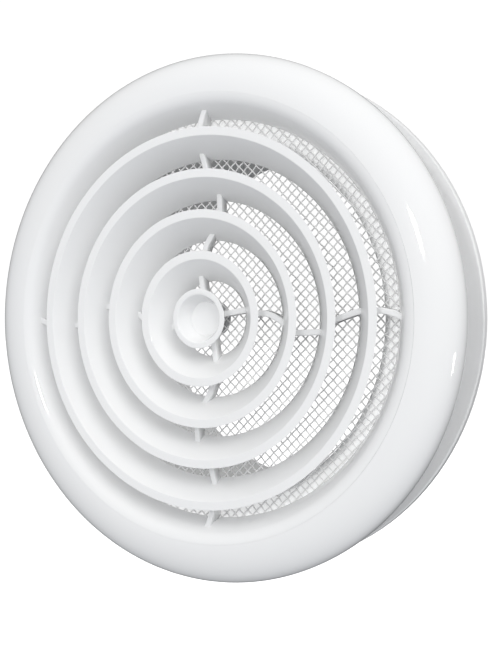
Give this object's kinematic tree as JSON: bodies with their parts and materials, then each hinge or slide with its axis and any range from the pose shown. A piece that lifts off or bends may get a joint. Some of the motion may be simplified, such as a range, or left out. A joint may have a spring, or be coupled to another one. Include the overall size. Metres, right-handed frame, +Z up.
{
  "type": "round louvred ventilation grille",
  "caption": "Round white louvred vent grille with insect screen, on a sleeve that slides in a flanged duct spigot; passes bathroom extract air between room and duct.",
  "frame": {"origin": "centre of the flange's back face, which meets the wall", "axes": "+Z up, the louvred front faces -Y into the room, the duct runs along +Y into the wall"},
  "size_m": [0.135, 0.0662, 0.135],
  "materials": {
    "white_abs": "glossy moulded",
    "cap_plastic": "glossy moulded",
    "body_abs": "satin moulded",
    "screen_mesh": "coated wire",
    "screen_hem": "matt moulded",
    "spring_steel": "plain",
    "seal_rubber": "matt",
    "gasket_foam": "closed-cell foam"
  },
  "bodies": {
    "wall_body": {"wall_flange": "body_abs", "duct_spigot": "body_abs", "mouth_seal": "seal_rubber", "wall_gasket": "gasket_foam"},
    "grille": {"outer_rim": "white_abs", "core_frame": "white_abs", "louvre_ring_1": "white_abs", "louvre_ring_2": "white_abs", "louvre_ring_3": "white_abs", "louvre_ring_4": "white_abs", "hub": "white_abs", "ribs_1": "white_abs", "ribs_2": "white_abs", "ribs_3": "white_abs", "ribs_4": "white_abs", "ribs_5": "white_abs", "hub_cap": "cap_plastic", "push_nut": "spring_steel", "insect_screen": "screen_mesh", "screen_ring": "screen_hem", "sleeve": "body_abs"}
  },
  "joints": [
    {"name": "grille_pull", "type": "slide", "parent": "wall_body", "child": "grille", "axis": [0, -1, 0], "range_m": [-0.0124, 0.03]}
  ]
}
